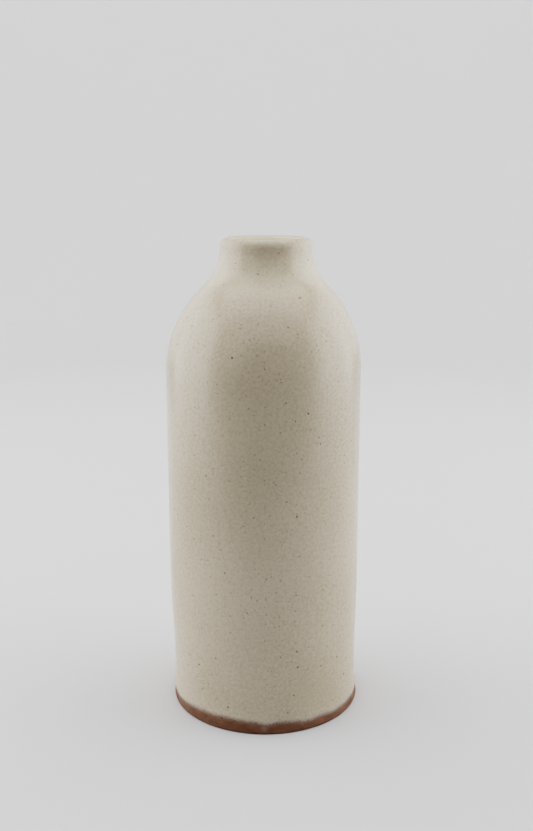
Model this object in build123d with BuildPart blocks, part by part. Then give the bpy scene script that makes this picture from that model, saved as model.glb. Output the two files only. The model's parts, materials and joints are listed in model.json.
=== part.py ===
"""Bottle vase: a wheel-thrown stoneware bottle with a glaze coat outside and a liner glaze inside.

Millimetres, +Z up. The origin is the middle of the foot, on the surface that the vase stands on.
The front, where the glaze has run a little, faces -Y.
"""

import os
from math import acos, degrees, sin

from build123d import *

# Overall sizes, measured over the glaze
height = 220.0
body_diameter = 90.4
neck_diameter = 41.6
waist_diameter = 87.5

# Heights of the turning points of the wall
waist_height = 13.5
belly_height = 66.0
neck_height = 2.0

# The two sweeps of the shoulder, measured over the glaze
shoulder_radius = 53.4
neck_sweep_radius = 23.3

# Clay
wall = 4.6
neck_wall = 3.5
mouth_depth = 5.0
floor_thickness = 7.0
floor_corner_radius = 12.0

# Bare foot
foot_diameter = 89.2
foot_bevel = 1.1
foot_ring_width = 9.0
foot_recess_depth = 1.6
foot_recess_flare = 2.4

# Glaze
glaze_thickness = 0.6

# Height of the wavy glaze line above the floor, at the sides, the front and the back
glaze_line_left = 4.7
glaze_line_high = 6.2
glaze_line_drip = 5.4
glaze_line_low = 4.1
glaze_line_right = 4.8
glaze_line_back = 5.2

# Places of the front line's high point, drip and low point, as shares of the foot's radius
glaze_high_share = -0.42
glaze_drip_share = 0.035
glaze_low_share = 0.48

# The run of glaze that hangs below the line at the front
drip_width = 8.0
drip_drop = 1.3

# One overrun for every cut
overrun = 5.0

# Radii of the bare clay
body_radius = body_diameter / 2 - glaze_thickness
neck_radius = neck_diameter / 2 - glaze_thickness
waist_radius = waist_diameter / 2 - glaze_thickness
foot_radius = foot_diameter / 2
bore_radius = neck_radius - neck_wall

# The lip is a full round on the neck's wall, and the glaze over it makes the overall height
lip_radius = neck_wall / 2
lip_height = height - glaze_thickness - lip_radius

UP = (0, 1)
DOWN = (0, -1)


def sweep_angle(wide, narrow, convex, concave):
    """Turn, in degrees, of two tangent arcs that bring an upright wall in from one radius to another."""
    return degrees(acos(1 - (wide - narrow) / (convex + concave)))


def sweep_rise(wide, narrow, convex, concave):
    """Height that those two arcs take up."""
    return (convex + concave) * sin(acos(1 - (wide - narrow) / (convex + concave)))


def outside_curve(skin):
    """Outside of the vase from the foot's bevel to the inner edge of the lip, a skin outside the clay."""
    wide = body_radius + skin
    narrow = neck_radius + skin
    convex = shoulder_radius - glaze_thickness + skin
    concave = neck_sweep_radius + glaze_thickness - skin
    neck_start = lip_height - neck_height
    shoulder_start = neck_start - sweep_rise(wide, narrow, convex, concave)
    turn = sweep_angle(wide, narrow, convex, concave)
    foot = (foot_radius + skin, foot_bevel)
    waist = (waist_radius + skin, waist_height)
    belly = (wide, belly_height)
    waist_to_foot = (waist_radius + skin, (foot_bevel + waist_height) / 2)
    mid_height = (waist_height + belly_height) / 2
    Bezier(foot, waist_to_foot, waist)
    Bezier(waist, (waist_radius + skin, mid_height), (wide, mid_height), belly)
    Line(belly, (wide, shoulder_start))
    shoulder = JernArc((wide, shoulder_start), UP, convex, turn)
    neck_sweep = JernArc(shoulder @ 1, shoulder % 1, concave, -turn)
    Line(neck_sweep @ 1, (narrow, lip_height))
    JernArc((narrow, lip_height), UP, lip_radius + skin, 180)


def inside_curve(skin):
    """Inside of the vase from the inner edge of the lip to the middle of its floor, a skin inside the clay."""
    wide = body_radius - wall - skin
    base = waist_radius - wall - skin
    narrow = bore_radius - skin
    convex = shoulder_radius - glaze_thickness - wall - skin
    concave = neck_sweep_radius + glaze_thickness + neck_wall + skin
    corner = floor_corner_radius - skin
    floor = floor_thickness + skin
    turn = sweep_angle(wide, narrow, convex, concave)
    belly = (wide, belly_height)
    corner_top = (base, floor + corner)
    mid_height = (belly_height + floor + corner) / 2
    bore = Line((narrow, lip_height), (narrow, lip_height - mouth_depth))
    neck_sweep = JernArc(bore @ 1, DOWN, concave, turn)
    shoulder = JernArc(neck_sweep @ 1, neck_sweep % 1, convex, -turn)
    Line(shoulder @ 1, belly)
    Bezier(belly, (wide, mid_height), (base, mid_height), corner_top)
    corner_arc = JernArc(corner_top, DOWN, corner, -90)
    Line(corner_arc @ 1, (0, floor))


# The thrown and trimmed clay: wall, shoulder, neck, rounded lip, floor and recessed foot
with BuildPart() as stoneware_body:
    with BuildSketch(Plane.XZ):
        with BuildLine():
            outside_curve(0)
            inside_curve(0)
            ring_inside = foot_radius - foot_bevel - foot_ring_width
            Polyline(
                (0, floor_thickness),
                (0, foot_recess_depth),
                (ring_inside - foot_recess_flare, foot_recess_depth),
                (ring_inside, 0),
                (foot_radius - foot_bevel, 0),
                (foot_radius, foot_bevel),
            )
        make_face()
    revolve(axis=Axis.Z)

stoneware_body.part.label = "stoneware_body"

# The glaze coat outside: an even skin on the clay from the bare foot, over the lip, to the mouth's inner edge
with BuildPart() as outer_glaze:
    with BuildSketch(Plane.XZ):
        with BuildLine():
            outside_curve(0)
            outside_curve(glaze_thickness)
            Line((foot_radius, foot_bevel), (foot_radius + glaze_thickness, foot_bevel))
            Line((bore_radius, lip_height), (bore_radius - glaze_thickness, lip_height))
        make_face()
    revolve(axis=Axis.Z)

    # The foot is wiped clean below a wavy line, in front with a run of glaze left hanging, then at the back
    reach = foot_radius + glaze_thickness + overrun
    left_end = (-reach, glaze_line_left)
    right_end = (reach, glaze_line_right)
    drip_place = (glaze_drip_share * foot_radius, glaze_line_drip)
    level = ((1, 0), (1, 0))
    with BuildSketch(Plane.XZ):
        with BuildLine():
            Spline(
                left_end,
                (glaze_high_share * foot_radius, glaze_line_high),
                drip_place,
                (glaze_low_share * foot_radius, glaze_line_low),
                right_end,
                tangents=level,
            )
            Polyline(right_end, (reach, -overrun), (-reach, -overrun), left_end)
        make_face()
        with Locations(drip_place):
            Ellipse(drip_width / 2, drip_drop, mode=Mode.SUBTRACT)
    extrude(amount=reach, mode=Mode.SUBTRACT)
    with BuildSketch(Plane.XZ):
        with BuildLine():
            Spline(left_end, (0, glaze_line_back), right_end, tangents=level)
            Polyline(right_end, (reach, -overrun), (-reach, -overrun), left_end)
        make_face()
    extrude(amount=-reach, mode=Mode.SUBTRACT)

outer_glaze.part.label = "outer_glaze"

# The liner glaze inside: a skin on the wall and floor of the hollow, which makes it hold water
with BuildPart() as liner_glaze:
    with BuildSketch(Plane.XZ):
        with BuildLine():
            inside_curve(0)
            inside_curve(glaze_thickness)
            Line((bore_radius, lip_height), (bore_radius - glaze_thickness, lip_height))
            Line((0, floor_thickness), (0, floor_thickness + glaze_thickness))
        make_face()
    revolve(axis=Axis.Z)

liner_glaze.part.label = "liner_glaze"

os.makedirs("parts", exist_ok=True)
for piece in (stoneware_body, outer_glaze, liner_glaze):
    export_step(piece.part, f"parts/{piece.part.label}.step")
    print(piece.part.label, "solids", len(piece.part.solids()), "volume", round(piece.part.volume))
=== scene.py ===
import json
import math

import bpy
import numpy as np
from bpy.props import FloatProperty, FloatVectorProperty, PointerProperty
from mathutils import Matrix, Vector


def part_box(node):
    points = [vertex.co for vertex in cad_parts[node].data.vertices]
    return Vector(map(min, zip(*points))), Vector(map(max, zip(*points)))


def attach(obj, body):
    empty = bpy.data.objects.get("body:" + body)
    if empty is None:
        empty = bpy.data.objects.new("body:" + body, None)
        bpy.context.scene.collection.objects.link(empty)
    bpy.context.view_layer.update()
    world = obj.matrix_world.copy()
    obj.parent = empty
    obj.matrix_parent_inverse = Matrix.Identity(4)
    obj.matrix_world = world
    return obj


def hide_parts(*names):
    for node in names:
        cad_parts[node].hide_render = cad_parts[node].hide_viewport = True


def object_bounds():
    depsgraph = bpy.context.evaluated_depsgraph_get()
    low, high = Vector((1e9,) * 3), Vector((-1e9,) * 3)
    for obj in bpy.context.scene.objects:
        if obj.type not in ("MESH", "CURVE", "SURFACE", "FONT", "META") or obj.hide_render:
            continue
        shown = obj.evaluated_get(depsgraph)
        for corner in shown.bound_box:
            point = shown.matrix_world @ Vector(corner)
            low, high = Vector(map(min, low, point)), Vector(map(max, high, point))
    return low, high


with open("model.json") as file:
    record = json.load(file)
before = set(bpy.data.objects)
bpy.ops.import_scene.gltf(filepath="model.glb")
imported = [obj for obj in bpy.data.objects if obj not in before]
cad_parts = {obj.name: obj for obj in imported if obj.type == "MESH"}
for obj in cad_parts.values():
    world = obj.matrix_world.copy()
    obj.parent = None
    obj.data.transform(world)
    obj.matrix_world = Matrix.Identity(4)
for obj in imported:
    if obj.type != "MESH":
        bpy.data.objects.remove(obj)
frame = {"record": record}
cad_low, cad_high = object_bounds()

bl_info = {
    "name": "Speckled Bottle Vase",
    "version": (1, 0, 0),
    "blender": (4, 5, 0),
    "location": "View3D > Sidebar > Vase",
    "description": "Dresses a thrown bottle vase in bare stoneware and speckled glaze, on a photo sweep",
    "category": "Object",
}

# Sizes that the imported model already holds, in metres
clay_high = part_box("stoneware_body")[1]
liner_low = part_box("liner_glaze")[0]
mouth = next(mount for mount in frame["record"]["mounts"] if mount["name"] == "mouth")
MM = 0.001
MOUTH_DEPTH = mouth["dims"]["length_mm"] * MM

# Points round one turn of the vase
TURNS = 360

# Points along each run of the outside, from the foot to the lip's inner edge, of the inside, from there to
# the middle of the floor, and of the underside, from its middle to the foot's edge
OUTSIDE_STEPS = (28, 40, 48, 40, 24, 4, 12, 14)
INSIDE_STEPS = (4, 20, 26, 36, 20, 14, 12)
UNDERSIDE_STEPS = (36, 8, 10, 8)

# Rows of the clay that stay close together at the bare foot, rows from the foot up that the glaze's lower
# edge is fitted to, and how many rows become one where the clay or the coat's inner face is hidden
FOOT_ROWS = 40
LOW_ROWS = 60
CLAY_HIDDEN_STEP = 3
COAT_HIDDEN_STEP = 4

# Edges that turn by more than this, in degrees, aren't shaded smooth
SHARP_ANGLE = 50

# How far the lip's crest and the bore ease into the slope between them
LIP_EASE_SHARE = 0.35

# Soft bumps of the glaze line: degrees from the front, half-width in degrees, rise in millimetres
GLAZE_LINE_BUMPS = (
    (-66, 5, -0.4),
    (-25, 20, 1.5),
    (-28, 4, -0.2),
    (9, 8, 0.7),
    (0.8, 3.6, -0.95),
    (26, 7, -0.3),
    (36, 3, 0.4),
    (44, 4, -0.4),
    (57, 4, -0.35),
    (140, 25, 0.6),
    (-130, 18, -0.5),
    (180, 12, 0.35),
)

# Pale rim above that line, partly the rolled glaze's own colour and partly a painted highlight, strong in
# places:
# degrees from the front, half-width in degrees, strength
GLAZE_RIM_HIGHLIGHT_LEVEL = 0.14
GLAZE_RIM_HIGHLIGHT_BUMPS = (
    (50, 18, 0.5),
    (20, 10, 0.25),
    (2, 6, 0.4),
    (-80, 10, 0.3),
    (145, 30, 0.4),
    (-135, 25, 0.35),
)

# Small waves of the same line: waves in a turn, phase in radians, height in millimetres
GLAZE_LINE_WAVES = ((17, 1.0, 0.10), (31, 2.2, 0.07), (53, 0.4, 0.05))

# Unevenness of the thrown wall: waves in a turn, wavelength up the wall in millimetres, phase in radians
WALL_WAVES = ((2, 190, 0.4), (3, -85, 1.9), (5, 52, 0.8), (4, -38, 2.6))

# Throwing rings: strength, rate against the pitch and phase of a second wave, and the same of a slow swell
RING_SECOND = (0.5, 0.62, 1.3)
RING_SWELL = (0.4, 0.13, 0.7)

# Where the rings inside fade out: distance below the lip and from the axis, in millimetres
RING_FADE_LIP = 20
RING_FADE_AXIS = 10

# Trimming marks under the foot: depth, spacing, and the heights between which they grow, in millimetres
TRIM_DEPTH = 0.12
TRIM_SPACING = 3.2
TRIM_LOW, TRIM_HIGH = 0.3, 1.2

# Height, as a share of the whole, from which the wall drifts sideways to the neck
BOW_NECK_SHARE = 0.7

# Iron specks: colour, cell and largest radius in millimetres, share of the cells with a speck, strength
SPECKS = (
    ("fine_speck", 1.5, 0.55, 0.45, 0.45),
    ("fine_speck", 2.2, 0.62, 0.4, 0.65),
    ("speck", 3.2, 0.6, 0.24, 0.8),
    ("rust_speck", 6.0, 0.62, 0.35, 0.75),
    ("dark_speck", 4.5, 0.7, 0.32, 0.88),
)

# Smallest radius of a speck as a share of the largest, and full-strength middle as a share of its radius
SPECK_SMALLEST_SHARE = 0.5
SPECK_MIDDLE_SHARE = 0.25

# Loose clusters of specks: size in millimetres, and shares of the usual number where emptiest and fullest
GATHER_SIZE = 16
GATHER_SHARES = (0.2, 1.8)

# Range that a noise pattern mostly keeps to
NOISE_LOW, NOISE_HIGH = 0.35, 0.65

# Glaze patterns, in millimetres: mottling, slow drift of the depth, and orange peel with its relief
MOTTLE_SIZE = 1.2
DRIFT_SIZE = 55
PEEL_SIZE = 3
PEEL_RELIEF = 0.1

# Sum of the mottling and the drift where the glaze counts as thinnest and as deepest
DEPTH_LOW, DEPTH_HIGH = 0.75, 1.25

# Lower edge of the glaze, in millimetres above its line: where its thinness and its pale rim, partly a
# painted highlight, fade out, how far a ragged noise shifts both, the size of that noise, and the iron
# there, as in the table of specks
EDGE_THIN = (-0.2, 2.6)
EDGE_RIM_HIGHLIGHT = (1.2, 3.4)
EDGE_SHIFT = 0.6
EDGE_RAGGED_SIZE = 1.8
EDGE_IRON = (1.5, 0.6, 0.85, 0.95)

# Thickness of that edge, as shares of the full coat, at the line and in the bead above it, and the bead's
# height and half-width in millimetres
EDGE_LINE_SHARE = 0.08
EDGE_BEAD_SHARE = 0.16
EDGE_BEAD_HEIGHT = 2.4
EDGE_BEAD_WIDTH = 1.0

# Rows of that edge, the power that packs them towards the line, the height above the waist where they end,
# and the least gap to the next row, in millimetres
EDGE_ROWS = 44
EDGE_POWER = 1.7
EDGE_TOP = 6
EDGE_GAP = 0.2

# Painted light, a paler glaze where light falls: its share in the neck's sweep, with the depth below the top
# and the half-width there, and the depth at which all of the lip's inner slope is painted paler, in
# millimetres
LIGHT_SWEEP_SHARE = 0.3
LIGHT_SWEEP_DEPTH = 15
LIGHT_SWEEP_WIDTH = 6
LIGHT_LIP_DEPTH = 0.8

# Wash of glaze wiped on the clay: share of glaze, and reach below and above the line in millimetres
FILM_WASH_SHARE = 0.14
FILM_WASH_BELOW, FILM_WASH_ABOVE = 1.1, 0.3

# Film below the run: share of glaze, place, half-width at the floor and flare in degrees, and the part of
# the band's height over which it fades in
FILM_RUN_SHARE = 0.16
FILM_RUN_PLACE = -0.5
FILM_RUN_WIDTH = 1.2
FILM_RUN_FLARE = 4.5
FILM_RUN_FADE_SHARE = 0.3

# Clay patterns, in millimetres: iron patches, how many times they are flattened into streaks, and grains of
# grog and iron, as in the table of specks
CLAY_PATCH_SIZE = 7
CLAY_STREAK = 2.5
CLAY_GROG = (1.5, 0.45, 0.4, 0.5)
CLAY_IRON = (2.2, 0.45, 0.45, 0.75)

# Grit of the clay, with its relief: under 0.5 mm, too fine to show in the render, so drawn this coarse
CLAY_GRIT_SIZE = 0.7
CLAY_GRIT_RELIEF = 0.15

# Light panels: place, target, width, height, radiance; in metres
PANELS = {
    "left_panel": ((-0.7, 0.06, 0.4), (0, 0.06, 0.4), 0.8, 0.8, 1.51),
    "right_panel": ((0.7, 0.06, 0.4), (0, 0.06, 0.4), 0.8, 0.8, 1.5),
    "far_left_panel": ((-0.7, 0.85, 0.5), (0, 0.85, 0.5), 0.8, 0.8, 0.6),
    "far_right_panel": ((0.7, 0.85, 0.5), (0, 0.85, 0.5), 0.8, 0.8, 0.6),
    "front_panel": ((0, -0.75, 0.8), (0, 0, 0.2), 1.4, 0.5, 0.51),
    "top_panel": ((0, -0.2, 1.12), (0, -0.2, 0), 1.75, 0.76, 1.03),
    "back_panel": ((0, 0.4, 1.15), (0, 0.4, 0), 1.4, 0.45, 1.13),
    "wash_panel": ((0, 0.7, 1.05), (0, 1.5, 0.6), 1.4, 0.3, 1.96),
}

# Photo sweep: radius of its first ring, radius of its floor, curve up to its wall, and height in metres,
# then the points along those runs and round one turn
SWEEP_START = 0.05
SWEEP_FLOOR = 1.0
SWEEP_CURVE = 0.5
SWEEP_HEIGHT = 2.0
SWEEP_STEPS = (20, 24, 8)
SWEEP_TURNS = 96

# Cloudiness of the paper: size in millimetres, and brightness of its darker places
CLOUD_SIZE = 250
CLOUD_DARK_SHARE = 0.98

# Black card in front of the vase: its place, and its corners across and up, in metres
CARD_PLACE = -0.36
CARD_CORNERS = (
    (0.42, 0),
    (0.42, 0.1),
    (0.34, 0.22),
    (0.34, 0.4),
    (-0.17, 0.4),
    (-0.17, 0.18),
    (-0.42, 0.1),
    (-0.42, 0),
)

# Long side of the camera's sensor, in millimetres
SENSOR_WIDTH = 36


def linear(hex_colour):
    """Linear red, green and blue of an sRGB hex colour: each channel divided by 12.92 in the dark toe, and
    above it shifted, scaled and raised to the power of 2.4."""
    parts = np.array([int(hex_colour[i : i + 2], 16) for i in (0, 2, 4)]) / 255
    curved = ((parts + 0.055) / 1.055) ** 2.4
    return tuple(float(value) for value in np.where(parts <= 0.04045, parts / 12.92, curved))


def length(name, description, default):
    """A length property in metres."""
    return FloatProperty(
        name=name, description=description, default=default, min=0, unit="LENGTH", precision=5
    )


def factor(name, description, default):
    """A property from 0 to 1."""
    return FloatProperty(
        name=name, description=description, default=default, min=0, max=1, subtype="FACTOR"
    )


def colour(name, description, hex_colour):
    """A colour property whose default is an sRGB hex colour."""
    return FloatVectorProperty(
        name=name,
        description=description,
        default=linear(hex_colour),
        size=3,
        min=0,
        max=1,
        subtype="COLOR",
    )


class VaseForm(bpy.types.PropertyGroup):
    """Sizes of the thrown form, measured over the glaze unless they say otherwise."""

    height: length("Height", "Foot to the top of the lip", cad_high.z)
    body_diameter: length("Body diameter", "Width of the straight wall", 0.0894)
    neck_diameter: length("Neck diameter", "Width of the neck under the lip", 0.0416)
    waist_diameter: length("Waist diameter", "Narrowest width above the foot", 0.0874)
    waist_height: length("Waist height", "Height of the narrowest place", 0.0135)
    belly_height: length("Belly height", "Where the wall becomes upright", 0.066)
    neck_height: length("Neck height", "Straight stretch under the lip", 0.002)
    lip_lean: length("Lip lean", "How far the lip's crest lies inside the middle of its wall", 0.0006)
    lip_round: length("Lip round", "Height of the clay lip's outer round", 0.0032)
    lip_slope: length("Lip slope", "How far the lip's inner slope goes down below the mouth's mark", 0.0004)
    shoulder_radius: length("Shoulder radius", "Outward curve of the shoulder", 0.0534)
    neck_sweep_radius: length("Neck sweep radius", "Inward curve from shoulder to neck", 0.0233)
    wall: length("Wall", "Clay in the body's wall", 0.0046)
    neck_wall: length("Neck wall", "Clay in the neck's wall", 0.0035)
    floor_thickness: length("Floor", "Clay in the floor", liner_low.z)
    floor_corner_radius: length("Floor corner", "Inside corner between wall and floor", 0.012)
    foot_diameter: length("Foot diameter", "Width of the bare foot", 0.0890)
    foot_bevel: length("Foot bevel", "Rounding of the foot's edge", 0.0011)
    foot_ring_width: length("Foot ring", "Width of the ring that it stands on", 0.009)
    foot_recess_depth: length("Foot recess", "Depth trimmed out inside the ring", 0.0016)
    foot_recess_flare: length("Recess flare", "Slope of the recess's edge", 0.0024)
    glaze_thickness: length("Glaze", "Thickness of a glaze coat", cad_high.z - clay_high.z)
    glaze_line: length("Glaze line", "Mean height of the bare foot band", 0.0038)
    bow_body: length("Bow", "How far the middle of the body bows to the left", 0.0004)
    bow_foot: length("Bow at the foot", "How far the foot lies to the right of that middle", 0.0009)
    bow_neck: length("Bow at the neck", "How far the neck lies to the right of that middle", 0.0012)
    wobble: length("Wobble", "Unevenness of the thrown wall", 0.00003)
    outer_rings: length("Outer rings", "Depth of the throwing rings outside", 0.00003)
    inner_rings: length("Inner rings", "Depth of the throwing rings inside", 0.0003)
    ring_pitch: length("Ring pitch", "Rise of the throwing rings in one turn", 0.0065)


class VaseFinish(bpy.types.PropertyGroup):
    """Colours and gloss of the glaze, the clay and the stage."""

    glaze: colour("Glaze", "Cream glaze over stoneware", "CDC1AE")
    glaze_deep: colour("Glaze, thicker", "Where the glaze lies thicker", "BDB19C")
    # Painted light: a paler glaze colour on the lip's inner slope and in the neck's sweep
    glaze_painted_light: colour("Glaze, pooled", "Paler where the glaze has pooled, at neck and lip", "E6DCC4")
    # Pale rolled edge, partly its own colour and partly a painted highlight; the film wiped on the clay
    # takes this colour too
    glaze_rim_and_highlight: colour("Glaze, rolled edge", "Pale roll of glaze above its lower edge", "C8C2BA")
    glaze_thin: colour("Glaze, thin", "Thin lower edge, where the clay shows through", "8F7767")
    fine_speck: colour("Fine specks", "Iron bloom under the glaze", "948470")
    rust_speck: colour("Rust specks", "Iron specks that have run to rust", "8E6848")
    speck: colour("Specks", "Iron specks", "6C5A4A")
    dark_speck: colour("Large specks", "Burst iron specks", "4A392D")
    clay: colour("Clay", "Toasted stoneware", "886550")
    clay_dark: colour("Clay, darker", "Iron-rich patches of the clay", "6D4F3C")
    clay_grog: colour("Grog", "Pale grains in the clay", "96785F")
    paper: colour("Paper", "Photo sweep", "DFDFE0")
    card: colour("Card", "Black card in front", "1A1A1A")
    glaze_roughness: factor("Glaze roughness", "Satin gloss of the glaze", 0.24)
    liner_roughness: factor("Liner roughness", "Gloss of the liner glaze", 0.2)


class VaseStudio(bpy.types.PropertyGroup):
    """Camera and light."""

    camera_distance: length("Camera distance", "From the vase's axis, on the ground", 0.458)
    camera_height: length("Camera height", "Above the floor", 0.2438)
    camera_side: FloatProperty(
        name="Camera side", description="To the right of the axis", default=0.001, unit="LENGTH", precision=5
    )
    camera_tilt: FloatProperty(
        name="Camera tilt", description="Below the horizon", default=math.radians(12.98), subtype="ANGLE"
    )
    camera_lens: FloatProperty(
        name="Lens", description="Focal length on a 36 mm long side", default=43.77, unit="CAMERA"
    )
    light: FloatProperty(name="Light", description="Strength of all the panels", default=1, min=0)


def bezier(points, count):
    """Bezier curve: the sum of its points, each times its Bernstein weight at an even run of steps."""
    points = np.array(points, float)
    step = np.linspace(0, 1, count)[:, None]
    degree = len(points) - 1
    weights = [math.comb(degree, k) * step**k * (1 - step) ** (degree - k) for k in range(degree + 1)]
    return sum(weight * point for weight, point in zip(weights, points))


def arc(centre, radii, start, end, count):
    """Arc of an ellipse: the centre plus each half-axis times the cosine or sine of an even run of angles.
    A single radius makes it an arc of a circle."""
    angle = np.linspace(start, end, count)
    return np.array(centre) + np.array(radii) * np.stack([np.cos(angle), np.sin(angle)], 1)


def joined(*runs):
    """Runs of points end to end, with the point that two runs share kept once."""
    return np.concatenate([runs[0]] + [run[1:] for run in runs[1:]])


def smooth_step(low, high, value):
    """0 below low, 1 above high, and a cubic rise between them."""
    share = np.clip((value - low) / (high - low), 0, 1)
    return share * share * (3 - 2 * share)


def sweep_turn(wide, narrow, convex, concave):
    """Turn of two tangent arcs that bring an upright wall in from one radius to another: its cosine is one
    less the change of radius over the sum of the arcs' radii."""
    return math.acos(1 - (wide - narrow) / (convex + concave))


def lip_height(form):
    """Height of the middle of the lip's round: the height less the glaze and half of the neck's wall."""
    return form.height - form.glaze_thickness - form.neck_wall / 2


def outside_outline(form, skin):
    """Radius and height up the outside, a skin outside the clay: foot curve, S-curve from waist to belly,
    upright wall, convex shoulder arc, concave neck arc, a quarter ellipse over the lip's outer round, and a
    Bezier curve down its inner slope."""
    glaze = form.glaze_thickness
    wide = form.body_diameter / 2 - glaze + skin
    narrow = form.neck_diameter / 2 - glaze + skin
    waist = form.waist_diameter / 2 - glaze + skin
    foot = form.foot_diameter / 2 + skin
    convex = form.shoulder_radius - glaze + skin
    concave = form.neck_sweep_radius + glaze - skin
    turn = sweep_turn(wide, narrow, convex, concave)
    neck_start = lip_height(form) - form.neck_height
    shoulder_start = neck_start - (convex + concave) * math.sin(turn)
    bevel, waist_height, belly_height = form.foot_bevel, form.waist_height, form.belly_height
    foot_middle = (bevel + waist_height) / 2
    wall_middle = (waist_height + belly_height) / 2
    half_wall = form.neck_wall / 2 + skin
    crest = narrow - half_wall - form.lip_lean
    bore = narrow - 2 * half_wall
    top = lip_height(form) + half_wall
    lip_round = form.lip_round + skin
    slope_end = lip_height(form) - form.lip_slope
    slope_out = crest - LIP_EASE_SHARE * (crest - bore)
    slope_up = slope_end + LIP_EASE_SHARE * (top - slope_end)
    s_curve = [(waist, waist_height), (waist, wall_middle), (wide, wall_middle), (wide, belly_height)]
    steps = OUTSIDE_STEPS
    return joined(
        bezier([(foot, bevel), (waist, foot_middle), (waist, waist_height)], steps[0]),
        bezier(s_curve, steps[1]),
        np.linspace((wide, belly_height), (wide, shoulder_start), steps[2]),
        arc((wide - convex, shoulder_start), convex, 0, turn, steps[3]),
        arc((narrow + concave, neck_start), concave, math.pi + turn, math.pi, steps[4]),
        np.linspace((narrow, neck_start), (narrow, top - lip_round), steps[5]),
        arc((crest, top - lip_round), (narrow - crest, lip_round), 0, math.pi / 2, steps[6]),
        bezier([(crest, top), (slope_out, top), (bore, slope_up), (bore, slope_end)], steps[7]),
    )


def inside_outline(form, skin):
    """Radius and height down the inside, a skin inside the clay: bore, concave neck arc, convex shoulder
    arc, upright wall, S-curve to the narrower base, floor corner, and the floor to the axis."""
    glaze = form.glaze_thickness
    wide = form.body_diameter / 2 - glaze - form.wall - skin
    base = form.waist_diameter / 2 - glaze - form.wall - skin
    narrow = form.neck_diameter / 2 - glaze - form.neck_wall - skin
    convex = form.shoulder_radius - glaze - form.wall - skin
    concave = form.neck_sweep_radius + glaze + form.neck_wall + skin
    turn = sweep_turn(wide, narrow, convex, concave)
    bore_end = lip_height(form) - MOUTH_DEPTH
    shoulder_end = bore_end - (convex + concave) * math.sin(turn)
    corner = form.floor_corner_radius - skin
    floor = form.floor_thickness + skin
    corner_top = floor + corner
    middle = (form.belly_height + corner_top) / 2
    steps = INSIDE_STEPS
    return joined(
        np.linspace((narrow, lip_height(form) - form.lip_slope), (narrow, bore_end), steps[0]),
        arc((narrow + concave, bore_end), concave, math.pi, math.pi + turn, steps[1]),
        arc((wide - convex, shoulder_end), convex, turn, 0, steps[2]),
        np.linspace((wide, shoulder_end), (wide, form.belly_height), steps[3]),
        bezier([(wide, form.belly_height), (wide, middle), (base, middle), (base, corner_top)], steps[4]),
        arc((base - corner, corner_top), corner, 0, -math.pi / 2, steps[5]),
        np.linspace((base - corner, floor), (0, floor), steps[6]),
    )


def underside_outline(form):
    """Radius and height under the foot, from the axis out: recess, flare, standing ring, rounded edge."""
    edge = form.foot_diameter / 2 - form.foot_bevel
    ring = edge - form.foot_ring_width
    flare = ring - form.foot_recess_flare
    depth = form.foot_recess_depth
    steps = UNDERSIDE_STEPS
    return joined(
        np.linspace((0, depth), (flare, depth), steps[0]),
        bezier([(flare, depth), ((flare + ring) / 2, depth), (ring, 0)], steps[1]),
        np.linspace((ring, 0), (edge, 0), steps[2]),
        arc((edge, form.foot_bevel), form.foot_bevel, -math.pi / 2, 0, steps[3]),
    )


def turn_angles():
    """One turn of angles from the front, positive to the right, as one row."""
    return np.arange(TURNS)[None, :] * (2 * math.pi / TURNS)


def soft_bumps(table):
    """Sum of Gaussian bumps round the axis, each with its place and half-width in degrees and its rise."""
    total = np.zeros((1, TURNS))
    for degrees, width, rise in table:
        apart = (np.degrees(turn_angles()) - degrees + 180) % 360 - 180
        total += rise * np.exp(-0.5 * (apart / width) ** 2)
    return total


def glaze_line_height(form):
    """Height of the glaze line round the foot: a level line plus Gaussian bumps and a few small waves."""
    angle = turn_angles()
    height = form.glaze_line + MM * soft_bumps(GLAZE_LINE_BUMPS)
    for count, phase, rise in GLAZE_LINE_WAVES:
        height += rise * MM * np.cos(count * angle + phase)
    return height


def ring_wave(form, angle, height):
    """Throwing rings: two spiral sines, of which the first climbs one pitch a turn, times a slow swell."""
    climb = 2 * math.pi * height / form.ring_pitch
    strength, rate, phase = RING_SECOND
    wave = np.sin(climb + angle) + strength * np.sin(rate * climb + 2 * angle + phase)
    swell, rate, phase = RING_SWELL
    return wave * (1 - swell + swell * np.sin(rate * climb + phase))


def inner_ring_depth(form, radius, height):
    """Depth of the throwing rings inside, which fades by smooth steps towards the lip and the axis."""
    below_lip = smooth_step(0, RING_FADE_LIP * MM, form.height - height)
    off_axis = smooth_step(0, RING_FADE_AXIS * MM, radius)
    return -form.inner_rings * below_lip * off_axis


def wall_wave(angle, height):
    """Uneven wall: the mean of a few cosines that run round the axis and up it."""
    waves = [
        np.cos(count * angle + 2 * math.pi * height / (rise * MM) + phase)
        for count, rise, phase in WALL_WAVES
    ]
    return sum(waves) / len(waves)


def bow_offset(form, height):
    """Sideways drift of the wall from the wheel's axis: to the left at mid-height, growing to the right
    with the square of the distance below that, and by a smooth step over the shoulder up to the neck."""
    middle = form.height / 2
    below = np.clip((middle - height) / middle, 0, 1)
    shoulder = smooth_step(BOW_NECK_SHARE * form.height, form.height, height)
    return form.bow_foot * below**2 + form.bow_neck * shoulder - form.bow_body


def thrown_points(form, radius, height, rings):
    """Points of a thrown wall: radius and height carried round the axis, with rings and unevenness added to
    the radius, and the axis bowed sideways."""
    angle = turn_angles()
    radius = radius + rings * ring_wave(form, angle, height) + form.wobble * wall_wave(angle, height)
    across = radius * np.sin(angle) + bow_offset(form, height)
    along = -radius * np.cos(angle)
    return np.stack(np.broadcast_arrays(across, along, height), -1)


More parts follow.
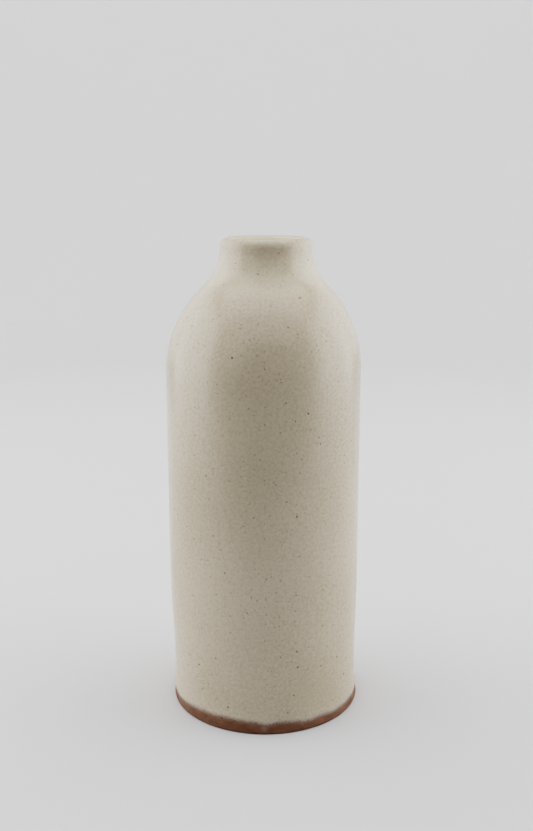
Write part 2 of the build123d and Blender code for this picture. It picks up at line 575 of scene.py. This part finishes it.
def lathe_mesh(name, rows, poles=None):
    """Mesh of a turned surface: each row of points is joined to the next and round to its own start. With
    poles, a fan closes each end on one point, and without them the last row is joined to the first. The
    faces are turned round if the volume that they enclose comes out negative."""
    count, turns = rows.shape[:2]
    points = rows.reshape(-1, 3)
    start = np.arange(count if poles is None else count - 1)[:, None] * turns
    next_start = (start + turns) % (count * turns)
    step = np.arange(turns)[None, :]
    next_step = (step + 1) % turns
    corners = (start + step, start + next_step, next_start + next_step, next_start + step)
    quads = np.stack([corner.ravel() for corner in corners], 1)
    fans = np.empty((0, 3), int)
    if poles is not None:
        points = np.concatenate([points, np.array(poles, float)])
        first, last = np.full((2, turns), [[count * turns], [count * turns + 1]])
        step, next_step = step.ravel(), next_step.ravel()
        end = (count - 1) * turns
        first_fan = np.stack([first, next_step, step], 1)
        last_fan = np.stack([last, end + step, end + next_step], 1)
        fans = np.concatenate([first_fan, last_fan])
    halves = np.concatenate([quads[:, [0, 1, 2]], quads[:, [0, 2, 3]], fans])
    a, b, c = (points[halves[:, i]] for i in range(3))
    if np.sum(a * np.cross(b, c)) < 0:
        quads, fans = quads[:, ::-1], fans[:, ::-1]
    mesh = bpy.data.meshes.new(name)
    mesh.from_pydata(points.tolist(), [], quads.tolist() + fans.tolist())
    mesh.polygons.foreach_set("use_smooth", np.ones(len(mesh.polygons), bool))
    mesh.set_sharp_from_angle(angle=math.radians(SHARP_ANGLE))
    mesh.update()
    return mesh


def add_measure(mesh, name, values):
    """Store one number for each point, which the material reads by name."""
    attribute = mesh.attributes.new(name, "FLOAT", "POINT")
    attribute.data.foreach_set("value", np.asarray(values, np.float32).ravel())


def add_piece(mesh, material, node):
    """Put a mesh into the scene in place of a CAD node, riding on the vase's one body."""
    mesh.materials.append(material)
    piece = bpy.data.objects.new(mesh.name, mesh)
    bpy.context.scene.collection.objects.link(piece)
    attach(piece, "root")
    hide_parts(node)


def add_node(tree, kind, inputs=None, **settings):
    """Add a node with its settings, and set or link its inputs by key. A colour gets its alpha."""
    node = tree.nodes.new(kind)
    for key, value in settings.items():
        setattr(node, key, value)
    for key, value in (inputs or {}).items():
        if isinstance(value, bpy.types.NodeSocket):
            tree.links.new(value, node.inputs[key])
        elif node.inputs[key].type == "RGBA":
            node.inputs[key].default_value = (*value, 1)
        else:
            node.inputs[key].default_value = value
    return node


def new_material(name):
    """An empty node material, its tree, and its object coordinates."""
    material = bpy.data.materials.new(name)
    material.use_nodes = True
    tree = material.node_tree
    tree.nodes.clear()
    place = add_node(tree, "ShaderNodeTexCoord").outputs["Object"]
    return material, tree, place


def speck_mask(tree, place, cell, radius, share, strength):
    """Round specks, from a cell and a radius in millimetres: one for each cell of a Voronoi pattern whose
    random number is under the share, with a radius from half to all of the given one, and full strength at
    its middle that fades out to its edge. A slow noise raises and lowers the share, so that the specks
    gather in loose clusters."""
    cells = add_node(tree, "ShaderNodeTexVoronoi", {"Vector": place, "Scale": 1 / (cell * MM)})
    chance = add_node(tree, "ShaderNodeSeparateColor", {"Color": cells.outputs["Color"]})
    size = add_node(
        tree,
        "ShaderNodeMapRange",
        {
            "Value": chance.outputs["Green"],
            "To Min": SPECK_SMALLEST_SHARE * radius / cell,
            "To Max": radius / cell,
        },
    )
    reach = add_node(
        tree, "ShaderNodeMath", {0: cells.outputs["Distance"], 1: size.outputs[0]}, operation="DIVIDE"
    )
    spot = add_node(
        tree,
        "ShaderNodeMapRange",
        {
            "Value": reach.outputs[0],
            "From Min": SPECK_MIDDLE_SHARE,
            "From Max": 1.0,
            "To Min": strength,
            "To Max": 0.0,
        },
        interpolation_type="SMOOTHSTEP",
    )
    gather = add_node(
        tree, "ShaderNodeTexNoise", {"Vector": place, "Scale": 1 / (GATHER_SIZE * MM), "Detail": 1.0}
    )
    emptiest, fullest = GATHER_SHARES
    limit = add_node(
        tree,
        "ShaderNodeMapRange",
        {
            "Value": gather.outputs[0],
            "From Min": NOISE_LOW,
            "From Max": NOISE_HIGH,
            "To Min": emptiest * share,
            "To Max": fullest * share,
        },
    )
    chosen = add_node(
        tree, "ShaderNodeMath", {0: chance.outputs["Red"], 1: limit.outputs[0]}, operation="LESS_THAN"
    )
    mask = add_node(tree, "ShaderNodeMath", {0: spot.outputs[0], 1: chosen.outputs[0]}, operation="MULTIPLY")
    return mask.outputs[0]


def glaze_edge(tree, place, finish, base):
    """Lower edge of the glaze, by the height above its line: first thin, with the clay showing through and
    iron gathered in it, then a pale rolled rim, partly a painted highlight, that is stronger in places, then
    the full coat."""
    above = add_node(tree, "ShaderNodeAttribute", attribute_name="above_line").outputs["Fac"]
    strength = add_node(tree, "ShaderNodeAttribute", attribute_name="rim_highlight_strength").outputs["Fac"]
    ragged = add_node(
        tree, "ShaderNodeTexNoise", {"Vector": place, "Scale": 1 / (EDGE_RAGGED_SIZE * MM), "Detail": 2.0}
    )
    shift = add_node(
        tree,
        "ShaderNodeMapRange",
        {"Value": ragged.outputs[0], "To Min": -EDGE_SHIFT * MM, "To Max": EDGE_SHIFT * MM},
    )
    edge = add_node(tree, "ShaderNodeMath", {0: above, 1: shift.outputs[0]}, operation="ADD").outputs[0]
    # Pale rim: the rolled edge's colour with a painted highlight
    low, high = EDGE_RIM_HIGHLIGHT
    highlight_band = add_node(
        tree,
        "ShaderNodeMapRange",
        {"Value": edge, "From Min": low * MM, "From Max": high * MM, "To Min": strength, "To Max": 0.0},
        interpolation_type="SMOOTHSTEP",
    )
    base = add_node(
        tree, "ShaderNodeMix", {0: highlight_band.outputs[0], 6: base, 7: finish.glaze_rim_and_highlight}, data_type="RGBA"
    )
    low, high = EDGE_THIN
    thin = add_node(
        tree,
        "ShaderNodeMapRange",
        {"Value": edge, "From Min": low * MM, "From Max": high * MM, "To Min": 1.0, "To Max": 0.0},
        interpolation_type="SMOOTHSTEP",
    ).outputs[0]
    base = add_node(
        tree, "ShaderNodeMix", {0: thin, 6: base.outputs[2], 7: finish.glaze_thin}, data_type="RGBA"
    )
    iron = speck_mask(tree, place, *EDGE_IRON)
    gathered = add_node(tree, "ShaderNodeMath", {0: iron, 1: thin}, operation="MULTIPLY")
    return add_node(
        tree,
        "ShaderNodeMix",
        {0: gathered.outputs[0], 6: base.outputs[2], 7: finish.dark_speck},
        data_type="RGBA",
    ).outputs[2]


def speckled_glaze_material(name, finish, roughness, is_outside):
    """Iron-speckled cream glaze, fired on stoneware: an opaque, satin-gloss glass with faint mottling,
    and brown iron specks that bloom through it."""
    material, tree, place = new_material(name)
    mottle = add_node(
        tree,
        "ShaderNodeTexNoise",
        {"Vector": place, "Scale": 1 / (MOTTLE_SIZE * MM), "Detail": 1.0, "Roughness": 0.5},
    )
    drift = add_node(
        tree, "ShaderNodeTexNoise", {"Vector": place, "Scale": 1 / (DRIFT_SIZE * MM), "Detail": 1.0}
    )
    depth = add_node(tree, "ShaderNodeMath", {0: mottle.outputs[0], 1: drift.outputs[0]}, operation="ADD")
    depth = add_node(
        tree,
        "ShaderNodeMapRange",
        {"Value": depth.outputs[0], "From Min": DEPTH_LOW, "From Max": DEPTH_HIGH},
    )
    base = add_node(
        tree, "ShaderNodeMix", {0: depth.outputs[0], 6: finish.glaze, 7: finish.glaze_deep}, data_type="RGBA"
    ).outputs[2]
    # Painted light: a paler colour on the lip's inner slope and in the neck's sweep
    if is_outside:
        painted_light = add_node(tree, "ShaderNodeAttribute", attribute_name="painted_light").outputs["Fac"]
        base = add_node(
            tree, "ShaderNodeMix", {0: painted_light, 6: base, 7: finish.glaze_painted_light}, data_type="RGBA"
        ).outputs[2]
    for tint, cell, radius, share, strength in SPECKS:
        mask = speck_mask(tree, place, cell, radius, share, strength)
        base = add_node(
            tree, "ShaderNodeMix", {0: mask, 6: base, 7: getattr(finish, tint)}, data_type="RGBA"
        ).outputs[2]
    if is_outside:
        base = glaze_edge(tree, place, finish, base)
    peel = add_node(
        tree, "ShaderNodeTexNoise", {"Vector": place, "Scale": 1 / (PEEL_SIZE * MM), "Detail": 2.0}
    )
    bump = add_node(
        tree, "ShaderNodeBump", {"Height": peel.outputs[0], "Strength": 0.1, "Distance": PEEL_RELIEF * MM}
    )
    shader = add_node(
        tree,
        "ShaderNodeBsdfPrincipled",
        {"Base Color": base, "Roughness": roughness, "IOR": 1.58, "Normal": bump.outputs[0]},
    )
    add_node(tree, "ShaderNodeOutputMaterial", {"Surface": shader.outputs[0]})
    return material


def bare_stoneware_material(name, finish):
    """Unglazed stoneware, toasted brown in the kiln: dry and matt, with gritty grain, darker iron patches
    and pale grains of grog where the wet sponge has wiped it."""
    material, tree, place = new_material(name)
    streaks = add_node(tree, "ShaderNodeMapping", {"Vector": place, "Scale": (1, 1, CLAY_STREAK)}).outputs[0]
    patch = add_node(
        tree,
        "ShaderNodeTexNoise",
        {"Vector": streaks, "Scale": 1 / (CLAY_PATCH_SIZE * MM), "Detail": 5.0, "Roughness": 0.72},
    )
    patch = add_node(
        tree,
        "ShaderNodeMapRange",
        {"Value": patch.outputs[0], "From Min": NOISE_LOW, "From Max": NOISE_HIGH},
    )
    base = add_node(
        tree, "ShaderNodeMix", {0: patch.outputs[0], 6: finish.clay, 7: finish.clay_dark}, data_type="RGBA"
    ).outputs[2]
    grog = speck_mask(tree, place, *CLAY_GROG)
    base = add_node(
        tree, "ShaderNodeMix", {0: grog, 6: base, 7: finish.clay_grog}, data_type="RGBA"
    ).outputs[2]
    iron = speck_mask(tree, place, *CLAY_IRON)
    base = add_node(
        tree, "ShaderNodeMix", {0: iron, 6: base, 7: finish.dark_speck}, data_type="RGBA"
    ).outputs[2]
    # The film of glaze takes the pale rim's colour, which holds a painted highlight
    film = add_node(tree, "ShaderNodeAttribute", attribute_name="glaze_film").outputs["Fac"]
    base = add_node(
        tree, "ShaderNodeMix", {0: film, 6: base, 7: finish.glaze_rim_and_highlight}, data_type="RGBA"
    ).outputs[2]
    grit = add_node(
        tree,
        "ShaderNodeTexNoise",
        {"Vector": place, "Scale": 1 / (CLAY_GRIT_SIZE * MM), "Detail": 3.0, "Roughness": 0.65},
    )
    bump = add_node(
        tree,
        "ShaderNodeBump",
        {"Height": grit.outputs[0], "Strength": 0.35, "Distance": CLAY_GRIT_RELIEF * MM},
    )
    shader = add_node(
        tree,
        "ShaderNodeBsdfPrincipled",
        {"Base Color": base, "Roughness": 0.6, "Specular IOR Level": 0.5, "Normal": bump.outputs[0]},
    )
    add_node(tree, "ShaderNodeOutputMaterial", {"Surface": shader.outputs[0]})
    return material


def sweep_paper_material(name, finish):
    """Matt white photo paper, with a faint cloudiness."""
    material, tree, place = new_material(name)
    cloud = add_node(
        tree, "ShaderNodeTexNoise", {"Vector": place, "Scale": 1 / (CLOUD_SIZE * MM), "Detail": 1.0}
    )
    darker = tuple(CLOUD_DARK_SHARE * value for value in finish.paper)
    base = add_node(
        tree, "ShaderNodeMix", {0: cloud.outputs[0], 6: finish.paper, 7: darker}, data_type="RGBA"
    )
    shader = add_node(tree, "ShaderNodeBsdfDiffuse", {"Color": base.outputs[2]})
    add_node(tree, "ShaderNodeOutputMaterial", {"Surface": shader.outputs[0]})
    return material


def black_card_material(name, finish):
    """Matt black card, which swallows light."""
    material, tree, _ = new_material(name)
    shader = add_node(tree, "ShaderNodeBsdfDiffuse", {"Color": finish.card})
    add_node(tree, "ShaderNodeOutputMaterial", {"Surface": shader.outputs[0]})
    return material


def painted_light_share(form, outline):
    """Share of the paler colour that paints light along the outline: outside, a Gaussian of the height in
    the neck's sweep, and past the lip's crest, a smooth rise to all of it down the inner slope."""
    depth = form.height - outline[:, 1]
    off_sweep = (depth - LIGHT_SWEEP_DEPTH * MM) / (LIGHT_SWEEP_WIDTH * MM)
    outside = LIGHT_SWEEP_SHARE * np.exp(-0.5 * off_sweep**2)
    is_inner = np.arange(len(outline)) > np.argmin(depth)
    return np.where(is_inner, smooth_step(0, LIGHT_LIP_DEPTH * MM, depth), outside)[:, None]


def glaze_film(form, height):
    """Film of glaze wiped thin on the clay, as the share of glaze at each point of a grid of heights and
    angles. A faint wash fades downwards from the line. Below the run at the front a stronger film narrows
    to a point at the floor. The larger of the two holds."""
    top = glaze_line_height(form)
    bottom = form.foot_bevel
    angle = (np.degrees(turn_angles()) + 180) % 360 - 180
    reach = np.clip((height - bottom) / (top - bottom), 0, 1)
    half_width = FILM_RUN_WIDTH + FILM_RUN_FLARE * reach
    off_run = np.abs(angle - FILM_RUN_PLACE) / half_width
    run = FILM_RUN_SHARE * smooth_step(1, 0, off_run) * smooth_step(0, FILM_RUN_FADE_SHARE, reach)
    wash = FILM_WASH_SHARE * smooth_step(top - FILM_WASH_BELOW * MM, top + FILM_WASH_ABOVE * MM, height)
    return np.maximum(run, wash)


class VASE_OT_stoneware_body(bpy.types.Operator):
    """Make the thrown and trimmed clay body, bare at the foot"""

    bl_idname = "vase.stoneware_body"
    bl_label = "Stoneware Body"

    def execute(self, context):
        form = context.scene.vase_form
        under, outside, inside = underside_outline(form), outside_outline(form, 0), inside_outline(form, 0)
        hidden = outside[FOOT_ROWS:-1:CLAY_HIDDEN_STEP]
        outside = np.concatenate([outside[:FOOT_ROWS], hidden, outside[-1:]])
        outline = joined(under, outside, inside)
        radius, height = outline[1:-1, :1], outline[1:-1, 1:]
        row = np.arange(len(radius))[:, None]
        is_under = row < len(under) - 2
        is_inside = row >= len(under) + len(outside) - 2
        outer_rings = np.where(is_under, 0, form.outer_rings)
        rings = np.where(is_inside, inner_ring_depth(form, radius, height), outer_rings)
        trimming = TRIM_DEPTH * MM * np.sin(2 * math.pi * radius / (TRIM_SPACING * MM))
        trimming = trimming * smooth_step(TRIM_LOW * MM, TRIM_HIGH * MM, height)
        points = thrown_points(form, radius, height, rings)
        points[..., 2] += np.where(is_under, trimming, 0)
        poles = [(bow_offset(form, z), 0, z) for z in (outline[0, 1], outline[-1, 1])]
        mesh = lathe_mesh("stoneware_body_clay", points, poles)
        film = np.where(is_inside | is_under, 0, glaze_film(form, height))
        add_measure(mesh, "glaze_film", np.append(film, np.zeros(len(poles))))
        material = bare_stoneware_material("bare_toasted_stoneware", context.scene.vase_finish)
        add_piece(mesh, material, "stoneware_body")
        return {"FINISHED"}


class VASE_OT_outer_glaze(bpy.types.Operator):
    """Make the speckled glaze coat outside, from its wavy line at the foot over the lip"""

    bl_idname = "vase.outer_glaze"
    bl_label = "Outer Glaze"

    def execute(self, context):
        form = context.scene.vase_form
        finish = context.scene.vase_finish
        clay = outside_outline(form, 0)
        coat = outside_outline(form, form.glaze_thickness)
        line_height = glaze_line_height(form)
        edge_top = form.waist_height + EDGE_TOP * MM
        climb = np.linspace(0, 1, EDGE_ROWS)[:, None] ** EDGE_POWER
        low = line_height + (edge_top - line_height) * climb
        low_clay = np.interp(low, clay[:LOW_ROWS, 1], clay[:LOW_ROWS, 0])
        above = low - line_height
        off_bead = (above - EDGE_BEAD_HEIGHT * MM) / (EDGE_BEAD_WIDTH * MM)
        bead = EDGE_BEAD_SHARE * np.exp(-0.5 * off_bead**2)
        full = smooth_step(0, EDGE_THIN[1] * MM, above)
        share = EDGE_LINE_SHARE + (1 - EDGE_LINE_SHARE) * full + bead
        low_coat = low_clay + form.glaze_thickness * share
        high_coat = coat[coat[:, 1] > edge_top + EDGE_GAP * MM]
        high_clay = clay[clay[:, 1] > edge_top + EDGE_GAP * MM][::-1]
        high_clay = np.concatenate([high_clay[:-1:COAT_HIDDEN_STEP], high_clay[-1:]])
        back = slice(None, None, -COAT_HIDDEN_STEP)
        turn = np.ones((1, TURNS))
        radius = np.concatenate([low_coat, high_coat[:, :1] * turn, high_clay[:, :1] * turn, low_clay[back]])
        height = np.concatenate([low, high_coat[:, 1:] * turn, high_clay[:, 1:] * turn, low[back]])
        # Share of the paler colour that paints light on the lip and in the neck's sweep
        painted_light = np.zeros_like(height)
        painted_light[len(low) : len(low) + len(high_coat)] = painted_light_share(form, high_coat)
        mesh = lathe_mesh("outer_glaze_coat", thrown_points(form, radius, height, form.outer_rings))
        add_measure(mesh, "painted_light", painted_light)
        add_measure(mesh, "above_line", height - line_height)
        # Strength of the pale rim's painted highlight round the turn
        rim_highlight_strength = GLAZE_RIM_HIGHLIGHT_LEVEL + soft_bumps(GLAZE_RIM_HIGHLIGHT_BUMPS)
        add_measure(mesh, "rim_highlight_strength", rim_highlight_strength * np.ones_like(height))
        material = speckled_glaze_material("speckled_cream_glaze", finish, finish.glaze_roughness, True)
        add_piece(mesh, material, "outer_glaze")
        return {"FINISHED"}


class VASE_OT_liner_glaze(bpy.types.Operator):
    """Make the poured glaze coat inside"""

    bl_idname = "vase.liner_glaze"
    bl_label = "Liner Glaze"

    def execute(self, context):
        form = context.scene.vase_form
        finish = context.scene.vase_finish
        outline = np.concatenate([inside_outline(form, form.glaze_thickness)[::-1], inside_outline(form, 0)])
        radius, height = outline[1:-1, :1], outline[1:-1, 1:]
        points = thrown_points(form, radius, height, inner_ring_depth(form, radius, height))
        poles = [(bow_offset(form, z), 0, z) for z in (outline[0, 1], outline[-1, 1])]
        mesh = lathe_mesh("liner_glaze_coat", points, poles)
        roughness = finish.liner_roughness
        material = speckled_glaze_material("speckled_cream_liner_glaze", finish, roughness, False)
        add_piece(mesh, material, "liner_glaze")
        return {"FINISHED"}


def add_panel(name, place, target, width, height, radiance):
    """A soft light panel that faces a target. Its power is its radiance times pi times its area."""
    light = bpy.data.lights.new(name, "AREA")
    light.shape = "RECTANGLE"
    light.size, light.size_y = width, height
    light.energy = radiance * math.pi * width * height
    panel = bpy.data.objects.new(name, light)
    panel.location = place
    panel.rotation_euler = (Vector(target) - Vector(place)).to_track_quat("-Z", "Y").to_euler()
    panel.visible_camera = False
    bpy.context.scene.collection.objects.link(panel)


class VASE_OT_studio(bpy.types.Operator):
    """Make the photo sweep, the light panels, the black card in front and the camera"""

    bl_idname = "vase.studio"
    bl_label = "Studio"

    def execute(self, context):
        studio = context.scene.vase_studio
        finish = context.scene.vase_finish
        wall = SWEEP_FLOOR + SWEEP_CURVE
        profile = joined(
            np.linspace((SWEEP_START, 0), (SWEEP_FLOOR, 0), SWEEP_STEPS[0]),
            arc((SWEEP_FLOOR, SWEEP_CURVE), SWEEP_CURVE, -math.pi / 2, 0, SWEEP_STEPS[1]),
            np.linspace((wall, SWEEP_CURVE), (wall, SWEEP_HEIGHT), SWEEP_STEPS[2]),
        )
        angle = np.linspace(0, 2 * math.pi, SWEEP_TURNS, endpoint=False)[None, :]
        radius, height = profile[:, :1], profile[:, 1:]
        rows = np.stack(np.broadcast_arrays(radius * np.sin(angle), -radius * np.cos(angle), height), -1)
        mesh = lathe_mesh("sweep", rows, [(0, 0, 0), (0, 0, SWEEP_HEIGHT)])
        mesh.flip_normals()
        mesh.materials.append(sweep_paper_material("matt_sweep_paper", finish))
        sweep = bpy.data.objects.new("sweep", mesh)
        context.scene.collection.objects.link(sweep)

        for name, (place, target, width, height, radiance) in PANELS.items():
            add_panel(name, place, target, width, height, radiance * studio.light)

        card_mesh = bpy.data.meshes.new("front_card")
        corners = [(across, CARD_PLACE, up) for across, up in CARD_CORNERS]
        card_mesh.from_pydata(corners, [], [range(len(corners))])
        card_mesh.materials.append(black_card_material("black_card", finish))
        card = bpy.data.objects.new("front_card", card_mesh)
        card.visible_camera = False
        context.scene.collection.objects.link(card)

        camera = bpy.data.objects.new("camera", bpy.data.cameras.new("camera"))
        camera.data.lens = studio.camera_lens
        camera.data.sensor_width = SENSOR_WIDTH
        camera.location = (studio.camera_side, -studio.camera_distance, studio.camera_height)
        camera.rotation_euler = (math.pi / 2 - studio.camera_tilt, 0, 0)
        context.scene.collection.objects.link(camera)
        context.scene.camera = camera
        context.scene.view_settings.view_transform = "Filmic"
        context.scene.view_settings.look = "Very High Contrast"
        return {"FINISHED"}


class VASE_PT_sidebar(bpy.types.Panel):
    """The vase's pieces, sizes and finish"""

    bl_label = "Bottle Vase"
    bl_space_type = "VIEW_3D"
    bl_region_type = "UI"
    bl_category = "Vase"

    def draw(self, context):
        for operator in OPERATORS:
            self.layout.operator(operator.bl_idname)
        for group in (context.scene.vase_form, context.scene.vase_finish, context.scene.vase_studio):
            box = self.layout.box()
            for key in group.__annotations__:
                box.prop(group, key)


GROUPS = {"vase_form": VaseForm, "vase_finish": VaseFinish, "vase_studio": VaseStudio}
OPERATORS = (VASE_OT_stoneware_body, VASE_OT_outer_glaze, VASE_OT_liner_glaze, VASE_OT_studio)


def register():
    """Register the classes, and give each scene its sizes, finish and studio."""
    for cls in (*GROUPS.values(), *OPERATORS, VASE_PT_sidebar):
        bpy.utils.register_class(cls)
    for name, group in GROUPS.items():
        setattr(bpy.types.Scene, name, PointerProperty(type=group))


def unregister():
    """Take away what register adds."""
    for name in GROUPS:
        delattr(bpy.types.Scene, name)
    for cls in reversed((*GROUPS.values(), *OPERATORS, VASE_PT_sidebar)):
        bpy.utils.unregister_class(cls)


def main():
    """Register the classes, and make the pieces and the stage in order."""
    register()
    bpy.ops.vase.stoneware_body()
    bpy.ops.vase.outer_glaze()
    bpy.ops.vase.liner_glaze()
    bpy.ops.vase.studio()


if __name__ == "__main__":
    main()
